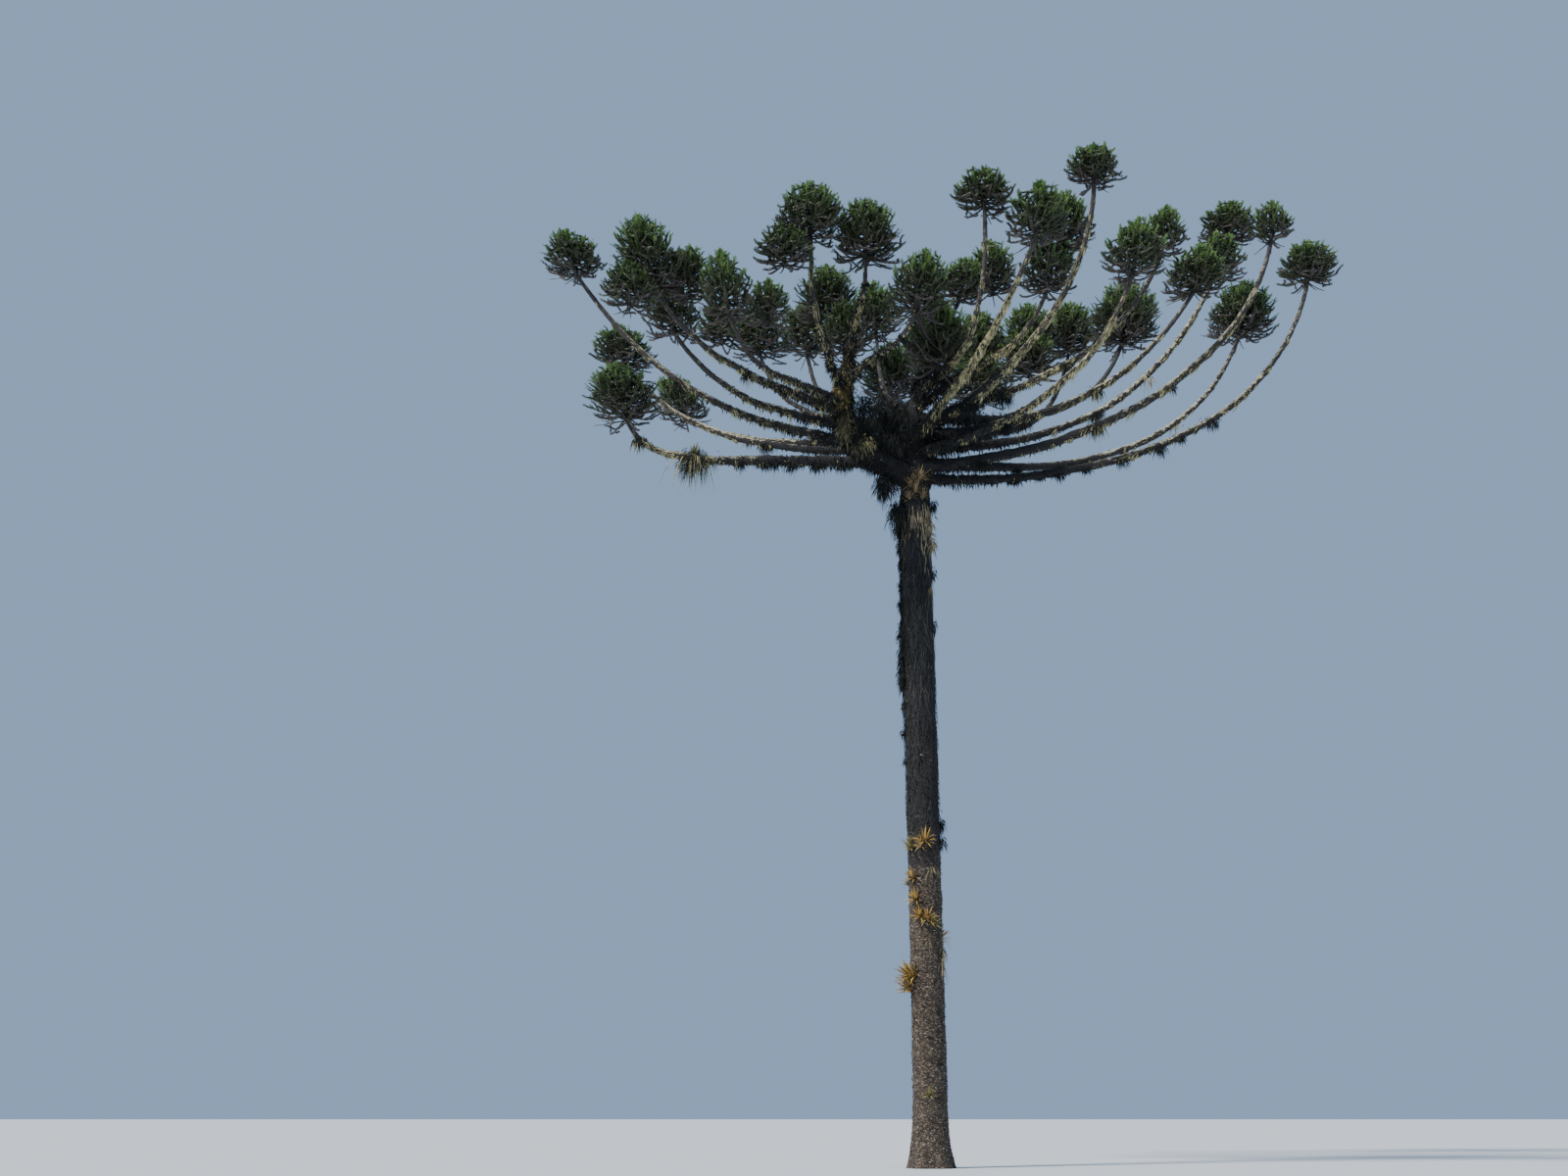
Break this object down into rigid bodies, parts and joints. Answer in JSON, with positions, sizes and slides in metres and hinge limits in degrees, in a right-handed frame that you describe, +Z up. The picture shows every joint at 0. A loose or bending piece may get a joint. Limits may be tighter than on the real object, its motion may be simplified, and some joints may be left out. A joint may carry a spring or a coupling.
{
  "type": "araucaria tree",
  "caption": "Full-grown candelabra araucaria: tall bare trunk, long upswept boughs and rounded heads of leafy shoots.",
  "frame": {"origin": "middle of the flat cut under the trunk, at ground level", "axes": "+Z up the trunk; +X to the right and +Y away from the camera in the picture"},
  "size_m": [16.7871, 14.2148, 20.8574],
  "materials": {
    "trunk_bark": "rough ridged bark, grey-brown, with pale lichen",
    "bough_bark": "rough dark bark hung with grey-green lichen",
    "foliage": "stiff dark green leaves, brighter at the top of each head"
  },
  "bodies": {
    "root": {"trunk": "trunk_bark", "bough_01_foot": "bough_bark", "bough_01_arm": "bough_bark", "bough_02_foot": "bough_bark", "bough_02_arm": "bough_bark", "bough_03": "bough_bark", "bough_04": "bough_bark", "bough_05": "bough_bark", "bough_06": "bough_bark", "bough_07": "bough_bark", "bough_08": "bough_bark", "bough_09": "bough_bark", "bough_10": "bough_bark", "bough_11": "bough_bark", "bough_12": "bough_bark", "bough_13": "bough_bark", "bough_14": "bough_bark", "bough_15": "bough_bark", "bough_16": "bough_bark", "bough_17": "bough_bark", "bough_18": "bough_bark", "bough_19_foot": "bough_bark", "bough_19_arm": "bough_bark", "bough_20": "bough_bark", "bough_21": "bough_bark", "bough_22": "bough_bark", "bough_23": "bough_bark", "bough_24": "bough_bark", "bough_25": "bough_bark", "bough_26": "bough_bark", "bough_27": "bough_bark", "foliage_01": "foliage", "foliage_02": "foliage", "foliage_03": "foliage", "foliage_04": "foliage", "foliage_05": "foliage", "foliage_06": "foliage", "foliage_07": "foliage", "foliage_08": "foliage", "foliage_09": "foliage", "foliage_10": "foliage", "foliage_11": "foliage", "foliage_12": "foliage", "foliage_13": "foliage", "foliage_14": "foliage", "foliage_15": "foliage", "foliage_16": "foliage", "foliage_17": "foliage", "foliage_18": "foliage", "foliage_19": "foliage", "foliage_20": "foliage", "foliage_21": "foliage", "foliage_22": "foliage", "foliage_23": "foliage", "foliage_24": "foliage", "foliage_25": "foliage", "foliage_26": "foliage", "foliage_27": "foliage", "foliage_28": "foliage"}
  },
  "joints": []
}
